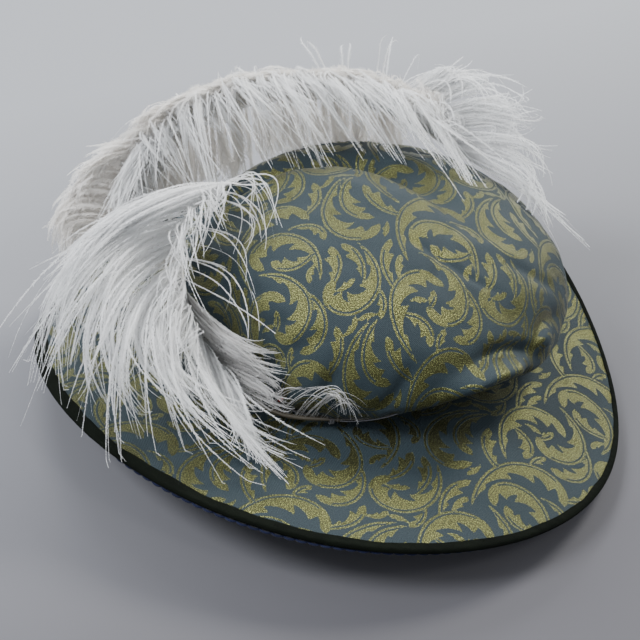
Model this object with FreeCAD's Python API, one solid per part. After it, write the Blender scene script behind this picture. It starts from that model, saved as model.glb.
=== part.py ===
"""Wide-brimmed brocade hat with two ostrich plumes.

Frame: millimetres, +Z up, +X to the wearer's left, -Y to the front.
The origin is the centre of the head opening, level with the top of the brim at the band.
"""
import FreeCAD, Part
import math
import os

Vector = FreeCAD.Vector

# Head opening: an oval of 58 cm round, measured inside the sweatband.
HEAD_X = 84.0
HEAD_Y = 100.0

# The layers round the opening, each from its inner to its outer distance off the head oval.
SWEATBAND = (0.0, 0.8)
SIDE_BAND = (0.9, 2.1)
HATBAND = (2.2, 3.0)
BRIM_HOLE = 2.2
CROWN_HOLE = 3.1

# Heights of those layers.
SWEATBAND_Z = (-3.0, 21.0)
SIDE_BAND_Z = (-2.6, 26.0)
HATBAND_Z = (2.4, 21.0)

# Brim: outline radius and rim height, each a mean with two slow waves round the hat.
BRIM_RADIUS = 214.0
BRIM_THREE_LOBE = 4.3
BRIM_THREE_LOBE_AT = 79.0
BRIM_TWO_LOBE = 2.6
BRIM_TWO_LOBE_AT = 98.5
RIM_DROP = -10.0
RIM_SADDLE = 22.0
RIM_SADDLE_AT = 69.5
RIM_TRIPLE = 8.0
RIM_TRIPLE_AT = 76.0

# Brim layers, as depths under the brim's top face.
TOP_COVER = (0.0, 0.6)
BUCKRAM = (0.7, 1.9)
UNDER_COVER = (2.0, 2.6)
LAYER_MARGIN = 3.0

# Binding: ribbon folded over the rim, and the braid under it.
BINDING_WIDTH = 13.0
BINDING_CLOTH = 0.8
BINDING_GAP = 0.1
EDGE_WIRE_RADIUS = 0.75
EDGE_WIRE_INSET = 1.9
EDGE_WIRE_DEPTH = 1.3
BRAID_OUT = 1.5
BRAID_WIDTH = 8.0
BRAID_Z = (3.6, 5.6)
BRAID_FROM = 232.0
BRAID_TURN = 354.0

# Wire round the foot of the band.
INNER_WIRE_RADIUS = 0.7
INNER_WIRE_OFFSET = 3.05
INNER_WIRE_Z = 1.1
WIRE_END_GAP = 0.5
RING_POINTS = 72

# Crown: a puff whose upper half is deep and whose lower half is shallow.
CROWN_CENTRE = Vector(22.0, 27.0, 27.0)
CROWN_X = 138.0
CROWN_Y = 146.0
CROWN_UP = 74.0
CROWN_DOWN = 24.0
COVER_THICK = 1.2
INTERLINING_GAP = 0.4
INTERLINING_THICK = 1.0

# Trough across the crown's back left, and the flat where the front plume lies.
TROUGH_CENTRE = Vector(-45.0, 72.0, 104.0)
TROUGH_SIZE = (95.0, 24.0, 33.0)
TROUGH_TURN = -12.0
FLAT_NORMAL = Vector(-0.68, -0.68, 0.27)
FLAT_DISTANCE = 101.0

# Lining: a dome over the head.
LINING_Z = 22.0
LINING_RISE = 48.0
LINING_OFFSET = 0.6
LINING_THICK = 0.6

# Front plume quill: hand-set stations of its rachis from the foot to the tip.
FRONT_RACHIS = [
    (8, -109, 8), (-30, -113, 9), (-62, -98, 12), (-90, -66, 23), (-109, -36, 42),
    (-115, -10, 62), (-109, 8, 83), (-94, 12, 99), (-80, 4, 106),
]

# Rear plume quill: out from its foot by the band, then round the crown's back on an oval in plan. Its height
# falls off on both sides of its highest place with the square of the angle, in mm per square degree.
REAR_FOOT = [(-92, 16, 8), (-122, 26, 16)]
REAR_ARC_CENTRE = (5.0, 45.0)
REAR_ARC_HALF = (155.0, 84.0)
REAR_ARC_ANGLES = (178.0, 67.0)
REAR_ARC_STATIONS = 8
REAR_ARC_TOP = 111.0
REAR_ARC_TOP_AT = 107.0
REAR_ARC_FALL = 0.0155

# Radius of a quill at its foot and at its tip, and the whipping thread near the foot.
QUILL_RADIUS = (1.9, 0.6)
THREAD_RADIUS = 0.35
THREAD_TURNS = 3
THREAD_PITCH = 1.1
THREAD_AT = 5.0

# Front vanes: hand-set places where the flues bend and where they end, for stations along the rachis.
FRONT_OUTER = [
    (1, (-36, -128, 14), (-42, -152, 11)),
    (2, (-74, -120, 22), (-88, -168, 12)),
    (3, (-106, -98, 32), (-126, -178, 13)),
    (4, (-132, -72, 48), (-160, -168, 7)),
    (5, (-146, -44, 66), (-192, -140, 3)),
    (6, (-146, -16, 86), (-214, -98, -5)),
    (7, (-134, -4, 102), (-224, -52, -9)),
    (8, (-112, -14, 112), (-208, -22, 0)),
]
FRONT_INNER = [
    (4, (-104, -36, 52), (-100, -34, 66)),
    (5, (-104, -14, 72), (-92, -18, 78)),
    (6, (-96, 0, 90), (-80, -10, 94)),
    (7, (-84, 2, 104), (-66, -8, 106)),
]

# Rear vanes: the stations of the rachis that each one spans, and then, at its foot's end, its middle and its
# tip's end, the way its flues end in plan (degrees), how far they reach, how high they end and how high they
# bend over their roots, and how far round the bend is turned from the end (degrees).
REAR_OUTER_SPAN = (2, 9)
REAR_OUTER_FAN = {
    "way": (170, 143, 27), "reach": (62, 54, 83), "rise": (-42, 6, 44),
    "lift": (0, 8, 26), "turn": (-5, -20, 10),
}
REAR_INNER_SPAN = (3, 9)
REAR_INNER_FAN = {
    "way": (-5, -58, -35), "reach": (24, 74, 58), "rise": (-14, -3, 4),
    "lift": (-5, 3, 6), "turn": (10, 25, 5),
}
BEND_SHARE = 0.45

# Depth of a vane at its bend.
VANE_DEPTH = 3.6
VANE_EDGE = 1.2
VANE_CLEAR = 1.2
VANE_STEPS = 3

# Ball-headed pin: its point lies in the side band's thickness, and it leaves along a tangent.
PIN_POINT_ANGLE = -84.0
PIN_POINT_OFFSET = 1.5
PIN_POINT_Z = 12.0
PIN_RISE = 4.0
PIN_LENGTH = 42.0
PIN_TAPER = 3.0
PIN_SHAFT_RADIUS = 0.35
PIN_HEAD_RADIUS = 2.2
PIN_HOLE_RADIUS = 0.40

GRID_HALF = 240.0
GRID_STEPS = 40


def oval_radius(angle, offset):
    """Radius of the head oval, grown by offset, in the direction of angle."""
    a = HEAD_X + offset
    b = HEAD_Y + offset
    return a * b / math.hypot(b * math.cos(angle), a * math.sin(angle))


def rim_radius(angle):
    """Radius of the brim's outline."""
    three = BRIM_THREE_LOBE * math.cos(3 * (angle - math.radians(BRIM_THREE_LOBE_AT)))
    two = BRIM_TWO_LOBE * math.cos(2 * (angle - math.radians(BRIM_TWO_LOBE_AT)))
    return BRIM_RADIUS + three + two


def rim_height(angle):
    """Height of the brim's top face at its outline."""
    saddle = RIM_SADDLE * math.cos(2 * (angle - math.radians(RIM_SADDLE_AT)))
    triple = RIM_TRIPLE * math.cos(3 * (angle - math.radians(RIM_TRIPLE_AT)))
    return RIM_DROP + saddle + triple


def brim_height(x, y):
    """Height of the brim's top face: level at the band, bending away to the rim's waves."""
    angle = math.atan2(y, x)
    inner = oval_radius(angle, 0.0)
    share = (math.hypot(x, y) - inner) / (rim_radius(angle) - inner)
    share = min(max(share, 0.0), 1.5)
    return rim_height(angle) * (1.5 * share ** 2 - 0.5 * share ** 3)


def brim_face():
    """The brim's top face over a square that is larger than the brim."""
    step = 2 * GRID_HALF / GRID_STEPS
    rows = []
    for i in range(GRID_STEPS + 1):
        x = -GRID_HALF + i * step
        row = []
        for j in range(GRID_STEPS + 1):
            y = -GRID_HALF + j * step
            row.append(Vector(x, y, brim_height(x, y)))
        rows.append(row)
    surface = Part.BSplineSurface()
    surface.interpolate(rows)
    return surface.toShape()


def closed_prism(points, low, high):
    """An upright solid inside a smooth closed outline."""
    curve = Part.BSplineCurve()
    curve.interpolate(Points=points, PeriodicFlag=True)
    face = Part.Face(Part.Wire([curve.toShape()]))
    face.translate(Vector(0, 0, low))
    return face.extrude(Vector(0, 0, high - low))


def rim_prism(inset):
    """Everything inside the brim's outline, less an inset."""
    points = []
    for i in range(72):
        angle = math.radians(5 * i)
        radius = rim_radius(angle) - inset
        points.append(Vector(radius * math.cos(angle), radius * math.sin(angle), 0))
    return closed_prism(points, -80.0, 60.0)


def oval_prism(offset, low, high):
    """An upright oval solid, the head opening grown by offset."""
    ellipse = Part.Ellipse(Vector(0, 0, low), HEAD_Y + offset, HEAD_X + offset)
    wire = Part.Wire([ellipse.toShape()])
    wire.rotate(Vector(0, 0, 0), Vector(0, 0, 1), 90)
    return Part.Face(wire).extrude(Vector(0, 0, high - low))


def oval_ring(offsets, heights):
    """An upright oval ring."""
    outer = oval_prism(offsets[1], heights[0], heights[1])
    return outer.cut(oval_prism(offsets[0], heights[0] - 1, heights[1] + 1))


def brim_layer(face, depths):
    """The slab between two depths under the brim's top face."""
    top = face.copy()
    top.translate(Vector(0, 0, -depths[0]))
    return top.extrude(Vector(0, 0, depths[0] - depths[1]))


def ring_path(radius_of, height_of):
    """A smooth path round the hat whose two ends nearly meet at the back, as a hat wire's do."""
    points = []
    turn = 360.0 - WIRE_END_GAP
    for i in range(RING_POINTS + 1):
        angle = math.radians(90.0 + WIRE_END_GAP / 2 + turn * i / RING_POINTS)
        radius = radius_of(angle)
        points.append(Vector(radius * math.cos(angle), radius * math.sin(angle), height_of(angle)))
    curve = Part.BSplineCurve()
    curve.interpolate(Points=points)
    return curve


def tube(curve, radius, end_radius=None):
    """A round rod along a curve, which may taper."""
    first = curve.FirstParameter
    wire = Part.Wire([curve.toShape()])
    rings = [Part.Wire([Part.Circle(curve.value(first), curve.tangent(first)[0], radius).toShape()])]
    if end_radius is not None:
        last = curve.LastParameter
        ring = Part.Circle(curve.value(last), curve.tangent(last)[0], end_radius)
        rings.append(Part.Wire([ring.toShape()]))
    return wire.makePipeShell(rings, True, False)


def one_solid(shape):
    """The single solid that a boolean gave, as a solid of its own."""
    solids = sorted(shape.Solids, key=lambda solid: -solid.Volume)
    return solids[0]


def brim_parts(face):
    """The brim's cloths, stiffener, wires, binding and braid."""
    hole = oval_prism(BRIM_HOLE, -80.0, 60.0)
    plan = rim_prism(LAYER_MARGIN).cut(hole)
    parts = {}
    for name, depths in (
        ("brim_top_cover", TOP_COVER),
        ("brim_buckram", BUCKRAM),
        ("brim_under_cover", UNDER_COVER),
    ):
        parts[name] = one_solid(brim_layer(face, depths).common(plan))
    outer = rim_prism(0.0)
    fold = outer.cut(rim_prism(BINDING_WIDTH))
    top = -BINDING_GAP - BINDING_CLOTH
    bottom = UNDER_COVER[1] + BINDING_GAP + BINDING_CLOTH
    inside = brim_layer(face, (-BINDING_GAP, UNDER_COVER[1] + BINDING_GAP))
    inside = inside.common(rim_prism(BINDING_CLOTH))
    parts["brim_binding"] = one_solid(brim_layer(face, (top, bottom)).common(fold).cut(inside))
    edge = ring_path(
        lambda angle: rim_radius(angle) - EDGE_WIRE_INSET,
        lambda angle: rim_height(angle) - EDGE_WIRE_DEPTH,
    )
    parts["brim_edge_wire"] = tube(edge, EDGE_WIRE_RADIUS)
    parts["brim_gimp_braid"] = braid(face)
    foot = ring_path(lambda angle: oval_radius(angle, INNER_WIRE_OFFSET), lambda angle: INNER_WIRE_Z)
    parts["brim_inner_wire"] = tube(foot, INNER_WIRE_RADIUS)
    return parts


def braid(face):
    """The braid under the rim, with a short gap between its two ends."""
    band = rim_prism(-BRAID_OUT).cut(rim_prism(BRAID_WIDTH - BRAID_OUT))
    gap_middle = BRAID_FROM - (360.0 - BRAID_TURN) / 2
    half_gap = math.radians((360.0 - BRAID_TURN) / 2)
    reach = BRIM_RADIUS + 40
    wedge = Part.makePolygon([
        Vector(0, 0, -80),
        Vector(reach, -reach * math.tan(half_gap), -80),
        Vector(reach, reach * math.tan(half_gap), -80),
        Vector(0, 0, -80),
    ])
    wedge = Part.Face(wedge).extrude(Vector(0, 0, 140))
    wedge.rotate(Vector(0, 0, 0), Vector(0, 0, 1), gap_middle)
    return one_solid(brim_layer(face, BRAID_Z).common(band).cut(wedge))


def scaled_ball(centre, size):
    """An ellipsoid."""
    matrix = FreeCAD.Matrix()
    matrix.scale(size[0], size[1], size[2])
    ball = Part.makeSphere(1.0).transformGeometry(matrix)
    ball.translate(centre)
    return ball


def puff(shrink):
    """The crown's outer shape, less shrink all round, with its trough and its flat."""
    wide = 400.0
    upper = scaled_ball(CROWN_CENTRE, (CROWN_X - shrink, CROWN_Y - shrink, CROWN_UP - shrink))
    lower = scaled_ball(CROWN_CENTRE, (CROWN_X - shrink, CROWN_Y - shrink, CROWN_DOWN - shrink))
    above = Part.makeBox(wide, wide, wide, CROWN_CENTRE - Vector(wide / 2, wide / 2, 0))
    below = Part.makeBox(wide, wide, wide, CROWN_CENTRE - Vector(wide / 2, wide / 2, wide))
    shape = upper.common(above).fuse(lower.common(below))
    trough = scaled_ball(Vector(0, 0, 0), [size + shrink for size in TROUGH_SIZE])
    trough.rotate(Vector(0, 0, 0), Vector(0, 0, 1), TROUGH_TURN)
    trough.translate(TROUGH_CENTRE)
    shape = shape.cut(trough)
    normal = Vector(FLAT_NORMAL)
    normal.normalize()
    slab = Part.makeBox(wide, wide, wide, Vector(-wide / 2, -wide / 2, 0))
    turn = FreeCAD.Rotation(Vector(0, 0, 1), normal)
    slab.Placement = FreeCAD.Placement(normal * (FLAT_DISTANCE - shrink), turn)
    return shape.cut(slab)


def crown_parts():
    """The crown's cover, the net inside it and the lining."""
    hole = oval_prism(CROWN_HOLE, -40.0, CROWN_CENTRE.z)
    parts = {}
    depth = 0.0
    for name, thick in (("crown_cover", COVER_THICK), ("crown_interlining", INTERLINING_THICK)):
        shell = puff(depth).cut(puff(depth + thick))
        parts[name] = one_solid(shell.cut(hole))
        depth += thick + INTERLINING_GAP
    base = Vector(0, 0, LINING_Z)
    outer_size = (HEAD_X + LINING_OFFSET, HEAD_Y + LINING_OFFSET, LINING_RISE)
    dome = scaled_ball(base, outer_size).cut(
        scaled_ball(base, [size - LINING_THICK for size in outer_size])
    )
    keep = Part.makeBox(300, 300, 200, Vector(-150, -150, LINING_Z))
    parts["crown_lining"] = one_solid(dome.common(keep))
    return parts


def pin_line():
    """The pin's point, and the way from it to its head."""
    angle = math.radians(PIN_POINT_ANGLE)
    a = HEAD_X + PIN_POINT_OFFSET
    b = HEAD_Y + PIN_POINT_OFFSET
    point = Vector(a * math.cos(angle), b * math.sin(angle), PIN_POINT_Z)
    along = Vector(a * math.sin(angle), -b * math.cos(angle), 0).normalize() * PIN_LENGTH
    return point, along + Vector(0, 0, PIN_RISE)


def band_parts():
    """The upright band with the ribbon outside it and the sweatband inside it."""
    point, along = pin_line()
    hole = Part.makeCylinder(PIN_HOLE_RADIUS, PIN_LENGTH, point - along * 0.01, along)
    return {
        "sweatband": oval_ring(SWEATBAND, SWEATBAND_Z),
        "side_band_buckram": one_solid(oval_ring(SIDE_BAND, SIDE_BAND_Z).cut(hole)),
        "hatband_ribbon": one_solid(oval_ring(HATBAND, HATBAND_Z).cut(hole)),
    }


def pin_parts():
    """The ball-headed pin. The shaft ends inside the ball."""
    point, along = pin_line()
    length = along.Length
    along.normalize()
    shoulder = point + along * PIN_TAPER
    tip = Part.makeCone(0.05, PIN_SHAFT_RADIUS, PIN_TAPER, point, along)
    shaft = Part.makeCylinder(PIN_SHAFT_RADIUS, length - PIN_TAPER, shoulder, along)
    shaft = shaft.fuse(tip).removeSplitter()
    ball = Part.makeSphere(PIN_HEAD_RADIUS, point + along * length)
    print("pin axis", tuple(round(c, 4) for c in along), "head", point + along * length)
    return {"pin_shaft": one_solid(shaft), "pin_head": ball.cut(shaft)}


def rachis_curve(stations):
    """A smooth curve through the stations of a rachis."""
    curve = Part.BSplineCurve()
    curve.interpolate(Points=[Vector(*p) for p in stations])
    return curve


def rear_rachis():
    """Stations of the rear rachis: its foot, then an arc round the crown's back."""
    stations = list(REAR_FOOT)
    first, last = REAR_ARC_ANGLES
    for i in range(REAR_ARC_STATIONS):
        angle = first + (last - first) * i / (REAR_ARC_STATIONS - 1)
        x = REAR_ARC_CENTRE[0] + REAR_ARC_HALF[0] * math.cos(math.radians(angle))
        y = REAR_ARC_CENTRE[1] + REAR_ARC_HALF[1] * math.sin(math.radians(angle))
        stations.append((x, y, REAR_ARC_TOP - REAR_ARC_FALL * (angle - REAR_ARC_TOP_AT) ** 2))
    return stations


def bow(values, share):
    """A value that runs smoothly through three values, at the shares 0, 1/2 and 1."""
    first, middle, last = values
    ends = first * (1 - share) * (1 - 2 * share) + last * share * (2 * share - 1)
    return ends + middle * 4 * share * (1 - share)


def away(root, way, reach, rise):
    """A place at a distance and height from a root, in a direction in plan."""
    angle = math.radians(way)
    return root + Vector(reach * math.cos(angle), reach * math.sin(angle), rise)


def fan(rachis, span, laws):
    """Places where flues bend and end, for the stations of a rachis that a vane spans."""
    stations = []
    for index in range(span[0], span[1] + 1):
        root = Vector(*rachis[index])
        at = {name: bow(values, (index - span[0]) / (span[1] - span[0])) for name, values in laws.items()}
        bend = away(root, at["way"] + at["turn"], at["reach"] * BEND_SHARE, at["lift"])
        stations.append((index, bend, away(root, at["way"], at["reach"], at["rise"])))
    return stations


def thread(curve):
    """Turns of thread whipped round the quill close to its foot, just off its surface."""
    rings = []
    for i in range(THREAD_TURNS):
        at = curve.parameterAtDistance(THREAD_AT + i * THREAD_PITCH, curve.FirstParameter)
        radius = QUILL_RADIUS[0] + THREAD_RADIUS + 0.05
        torus = Part.makeTorus(radius, THREAD_RADIUS, curve.value(at), curve.tangent(at)[0])
        rings.append(torus)
    return Part.makeCompound(rings)


def faceted_solid(sections):
    """A closed solid of flat triangles through sections that each have the same number of corners."""
    count = len(sections[0])
    triangles = []
    for low, high in zip(sections, sections[1:]):
        for i in range(count):
            j = (i + 1) % count
            triangles.append((low[i], low[j], high[j]))
            triangles.append((low[i], high[j], high[i]))
    for i in range(1, count - 1):
        triangles.append((sections[0][0], sections[0][i + 1], sections[0][i]))
        triangles.append((sections[-1][0], sections[-1][i], sections[-1][i + 1]))
    faces = [Part.Face(Part.makePolygon([a, b, c, a])) for a, b, c in triangles]
    solid = Part.Solid(Part.Shell(faces))
    if solid.Volume < 0:
        solid.reverse()
    return solid


def between(points, at):
    """A point on the smooth (Catmull-Rom) line through points, at a fractional index."""
    first = min(int(at), len(points) - 2)
    share = at - first
    p1 = points[first]
    p2 = points[first + 1]
    p0 = points[first - 1] if first > 0 else p1 * 2 - p2
    p3 = points[first + 2] if first + 2 < len(points) else p2 * 2 - p1
    slope = (p2 - p0) * share
    curve = (p0 * 2 - p1 * 5 + p2 * 4 - p3) * share ** 2
    twist = (p1 * 3 - p0 - p2 * 3 + p3) * share ** 3
    return p1 + (slope + curve + twist) * 0.5


def vane(stations, rachis, curve):
    """One side of a plume as a closed envelope over its flues."""
    roots = [curve.parameter(Vector(*rachis[index])) for index, bend, tip in stations]
    bends = [Vector(*bend) for index, bend, tip in stations]
    tips = [Vector(*tip) for index, bend, tip in stations]
    spans = []
    count = VANE_STEPS * (len(stations) - 1)
    for i in range(count + 1):
        at = i / VANE_STEPS
        first = min(int(at), len(stations) - 2)
        place = roots[first] + (at - first) * (roots[first + 1] - roots[first])
        spans.append((curve.value(place), between(bends, at), between(tips, at)))
    sections = []
    for i, (root, bend, tip) in enumerate(spans):
        before = spans[max(i - 1, 0)]
        after = spans[min(i + 1, count)]
        sweep = after[0] + after[2] - before[0] - before[2]
        up = (tip - root).cross(sweep).normalize()
        start = root + (bend - root).normalize() * (QUILL_RADIUS[0] + VANE_CLEAR)
        thick = up * (VANE_DEPTH / 2)
        thin = up * (VANE_EDGE / 2)
        sections.append([start + thin, bend + thick, tip + thin, tip - thin, bend - thick, start - thin])
    return faceted_solid(sections)


def plume_parts(name, rachis, outer, inner):
    """A plume's quill, its whipping thread and its two vanes."""
    curve = rachis_curve(rachis)
    return {
        name + "_plume_quill": tube(curve, QUILL_RADIUS[0], QUILL_RADIUS[1]),
        name + "_quill_thread": thread(curve),
        name + "_plume_outer_flues": vane(outer, rachis, curve),
        name + "_plume_inner_flues": vane(inner, rachis, curve),
    }


def main():
    os.makedirs("parts", exist_ok=True)
    parts = {}
    parts.update(brim_parts(brim_face()))
    parts.update(crown_parts())
    parts.update(band_parts())
    parts.update(plume_parts("front", FRONT_RACHIS, FRONT_OUTER, FRONT_INNER))
    rear = rear_rachis()
    outer = fan(rear, REAR_OUTER_SPAN, REAR_OUTER_FAN)
    inner = fan(rear, REAR_INNER_SPAN, REAR_INNER_FAN)
    parts.update(plume_parts("rear", rear, outer, inner))
    parts.update(pin_parts())
    for name, shape in parts.items():
        shape.exportStep("parts/" + name + ".step")
        box = shape.BoundBox
        print(
            f"{name:26s} valid {shape.isValid()} solids {len(shape.Solids)} volume {shape.Volume:9.1f}"
            f" x {box.XMin:.0f}..{box.XMax:.0f} y {box.YMin:.0f}..{box.YMax:.0f}"
            f" z {box.ZMin:.0f}..{box.ZMax:.0f}"
        )


main()
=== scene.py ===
"""Looks for a wide-brimmed brocade hat with two ostrich plumes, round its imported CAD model.

Shapes are worked out in millimetres in the CAD's frame: +Z up, +X to the wearer's left, -Y to the front.
"""
import math

import bpy
import numpy as np
from mathutils import Matrix, Vector


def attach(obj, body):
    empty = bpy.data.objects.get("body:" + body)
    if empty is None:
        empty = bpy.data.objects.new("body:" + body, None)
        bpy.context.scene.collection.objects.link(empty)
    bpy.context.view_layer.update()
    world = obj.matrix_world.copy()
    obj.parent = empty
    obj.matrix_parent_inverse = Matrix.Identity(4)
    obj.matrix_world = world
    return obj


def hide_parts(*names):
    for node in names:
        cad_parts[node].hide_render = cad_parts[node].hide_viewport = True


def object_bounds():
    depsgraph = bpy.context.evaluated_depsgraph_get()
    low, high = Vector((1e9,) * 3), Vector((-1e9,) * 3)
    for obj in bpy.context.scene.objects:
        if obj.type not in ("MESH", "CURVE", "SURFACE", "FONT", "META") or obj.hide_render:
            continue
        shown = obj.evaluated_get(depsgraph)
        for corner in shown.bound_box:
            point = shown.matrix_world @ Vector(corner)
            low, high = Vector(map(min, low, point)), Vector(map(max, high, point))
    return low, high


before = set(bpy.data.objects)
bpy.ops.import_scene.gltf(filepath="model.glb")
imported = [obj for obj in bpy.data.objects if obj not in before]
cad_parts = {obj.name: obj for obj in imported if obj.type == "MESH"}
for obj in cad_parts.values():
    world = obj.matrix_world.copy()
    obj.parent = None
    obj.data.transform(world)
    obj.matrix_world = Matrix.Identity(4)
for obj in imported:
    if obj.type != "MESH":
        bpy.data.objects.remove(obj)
cad_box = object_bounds()

MM = 0.001
TURN = 2 * math.pi

# Head opening and the layers round it, as distances off the head oval. These repeat the part's sizes.
HEAD_X = 84.0
HEAD_Y = 100.0
SWEATBAND = (0.0, 0.8)
SWEATBAND_Z = (-3.0, 21.0)
HATBAND = (2.2, 3.0)
HATBAND_Z = (2.4, 21.0)
BRIM_HOLE = 2.2
CROWN_HOLE = 3.1

# Brim outline and height, and the depths of its layers.
BRIM_RADIUS = 214.0
BRIM_THREE_LOBE = (4.3, 79.0)
BRIM_TWO_LOBE = (2.6, 98.5)
RIM_DROP = -10.0
RIM_SADDLE = (22.0, 69.5)
RIM_TRIPLE = (8.0, 76.0)
UNDER_DEPTH = 2.3
BINDING_WIDTH = 13.0
BINDING_FLANGE = (-13.0, -11.5, -9.0, -6.5, -4.0)
BINDING_TOP_WIDTH = 6.4
BINDING_TOP_EASE = 2.2
BINDING_NARROW = math.radians(10.0)
BINDING_TOP = 0.9
BINDING_BOTTOM = 3.5
BINDING_CLOTH = 0.8
BINDING_ROUND = 2.2
BRAID_DEPTH = 4.6
BRAID_FROM = 232.0
BRAID_TURN = 354.0
BRAID_PEEK = math.radians(261.0)

# Crown: the puff's centre and half sizes, where its underside meets the band, the flat that the front plume
# presses into it, eased over some way to each side, and the lining's dome. Cloth below the cuff's height
# stays outside the band.
CROWN_CENTRE = np.array([22.0, 27.0, 27.0])
CROWN_HALF = (138.0, 146.0, 74.0)
CROWN_FOOT_Z = 7.0
FLAT_NORMAL = np.array([-0.68, -0.68, 0.27])
FLAT_DISTANCE = 101.0
FLAT_EASE = 8.0
CUFF_Z = 30.0
LINING_Z = 22.0
LINING_RISE = 48.0

# Front plume: stations of its rachis. Rear plume: its foot, then an arc round the crown's back whose
# height falls with the square of the angle, in mm per square degree. Both repeat the part's sizes.
FRONT_RACHIS = [
    (8, -109, 8), (-30, -113, 9), (-62, -98, 12), (-90, -66, 23), (-109, -36, 42),
    (-115, -10, 62), (-109, 8, 83), (-94, 12, 99), (-80, 4, 106),
]
REAR_FOOT = [(-92, 16, 8), (-122, 26, 16)]
REAR_ARC_CENTRE = (5.0, 45.0)
REAR_ARC_HALF = (155.0, 84.0)
REAR_ARC_ANGLES = (178.0, 67.0)
REAR_ARC_STATIONS = 8
REAR_ARC_TOP = 111.0
REAR_ARC_TOP_AT = 107.0
REAR_ARC_FALL = 0.0155
FAN_STATIONS = 9
# Rear flues that rise above the ceiling are pressed down towards it.
CEILING = 136.0

# Fans of flues. Each spans part of a rachis, in stations. The other values are for the fan's foot end, middle
# and tip end: the way its flues end in plan (degrees), how far they reach, how high they end and how high
# they bend over their roots, and how far the bend is turned from the end (degrees). The bend's share of the
# reach is last.
FRONT_OUTER = dict(span=(2.5, 7.6), way=(-34, -103, -168), reach=(86, 150, 124), rise=(-12, -54, -108),
                   lift=(3, 15, 2), turn=(-20, -10, 38), bend=0.55)
FRONT_INNER = dict(span=(4.0, 8.0), way=(-48, -47, -38), reach=(90, 84, 26), rise=(8, -5, -16),
                   lift=(16, 10, 2), turn=(5, 20, 40), bend=0.4)
FRONT_BASE = dict(span=(2.2, 4.0), way=(-28, -37, -45), reach=(56, 78, 86), rise=(3, 10, 8),
                  lift=(3, 13, 6), turn=(-8, -12, -12), bend=0.55)
FRONT_COVER = dict(span=(3.2, 7.0), way=(-88, -88, -80), reach=(70, 86, 48), rise=(11, 6, 2),
                   lift=(25, 27, 17), turn=(0, 0, 0), bend=0.6)
FRONT_FOOT = dict(span=(0.2, 1.5), way=(-28, -16, -17), reach=(28, 36, 37), rise=(10, 25, 24),
                  lift=(26, 28, 22), turn=(-25, -8, -10), bend=0.45)
REAR_OUTER = dict(span=(0.8, 9.0), way=(184, 216, 165), reach=(74, 58, 24), rise=(-8, 8, 38),
                  lift=(17, 20, 30), turn=(-6, 8, -10), bend=0.6)
REAR_VEIL = dict(span=(1.0, 8.0), way=(200, 310, 345), reach=(26, 16, 8), rise=(-8, -46, -26),
                 lift=(0, -25, -12), turn=(0, 0, 0), bend=0.5)
REAR_CURLS = dict(span=(1.0, 9.0), way=(230, 292, 304), reach=(40, 70, 64), rise=(14, -8, 4),
                  lift=(29, 25, 30), turn=(-28, -58, -66), bend=0.3)
REAR_SHORT = dict(REAR_CURLS, reach=(26, 38, 36), rise=(20, 14, 20))
REAR_END = dict(span=(7.6, 9.0), way=(14, 2, -38), reach=(66, 84, 104), rise=(30, 26, -34),
                lift=(23, 21, -8), turn=(8, 8, 5), bend=0.5)
REAR_WISPS = dict(span=(6.6, 9.0), way=(143, 62, 12), reach=(44, 60, 84), rise=(22, 28, 12),
                  lift=(20, 24, 10), turn=(5, 5, 5), bend=0.55)


def oval_radius(angle, offset):
    """Radius of the head oval, grown by offset, in the direction of angle."""
    a = HEAD_X + offset
    b = HEAD_Y + offset
    return a * b / np.hypot(b * np.cos(angle), a * np.sin(angle))


def wave(angle, size_and_place, count):
    """A slow wave round the hat, highest in the given direction."""
    size, place = size_and_place
    return size * np.cos(count * (angle - math.radians(place)))


def rim_radius(angle):
    """Radius of the brim's outline."""
    return BRIM_RADIUS + wave(angle, BRIM_THREE_LOBE, 3) + wave(angle, BRIM_TWO_LOBE, 2)


def rim_height(angle):
    """Height of the brim's top face at its outline."""
    return RIM_DROP + wave(angle, RIM_SADDLE, 2) + wave(angle, RIM_TRIPLE, 3)


def brim_point(angle, radius, lift=0.0):
    """The point over the brim's top face at a direction and a distance from the hat's axis."""
    inner = oval_radius(angle, 0.0)
    share = ((radius - inner) / (rim_radius(angle) - inner)).clip(0.0, 1.5)
    height = rim_height(angle) * (1.5 * share ** 2 - 0.5 * share ** 3)
    return np.stack([radius * np.cos(angle), radius * np.sin(angle), height + lift], -1)


def ripple(points, wavelength, seed, waves=9):
    """Smooth noise from -1 to 1: sine waves in seeded directions."""
    rng = np.random.default_rng(seed)
    way = rng.normal(size=(waves, 3))
    way /= np.linalg.norm(way, axis=1)[:, None]
    way *= TURN / (wavelength * rng.uniform(0.7, 1.5, (waves, 1)))
    phase = rng.uniform(0, TURN, waves)
    return np.sin(points @ way.T + phase).sum(-1) / math.sqrt(waves) * 0.8


def unit(vectors):
    """Vectors scaled to a length of 1."""
    return vectors / np.maximum(np.linalg.norm(vectors, axis=-1, keepdims=True), 1e-9)


# ---------------------------------------------------------------- meshes

def make_piece(name, points, faces, material, body):
    """A smooth mesh piece from points in mm and a list of face arrays, riding on a body."""
    mesh = bpy.data.meshes.new(name)
    mesh.vertices.add(len(points))
    mesh.vertices.foreach_set("co", (points * MM).astype(np.float32).ravel())
    corners = np.concatenate([group.ravel() for group in faces])
    sizes = np.concatenate([np.full(len(group), group.shape[1]) for group in faces])
    mesh.loops.add(len(corners))
    mesh.loops.foreach_set("vertex_index", corners.astype(np.int32))
    mesh.polygons.add(len(sizes))
    starts = np.concatenate([[0], np.cumsum(sizes)[:-1]])
    mesh.polygons.foreach_set("loop_start", starts.astype(np.int32))
    mesh.update(calc_edges=True)
    mesh.validate()
    mesh.shade_smooth()
    mesh.materials.append(material)
    piece = bpy.data.objects.new(name, mesh)
    bpy.context.collection.objects.link(piece)
    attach(piece, body)
    return piece


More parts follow.
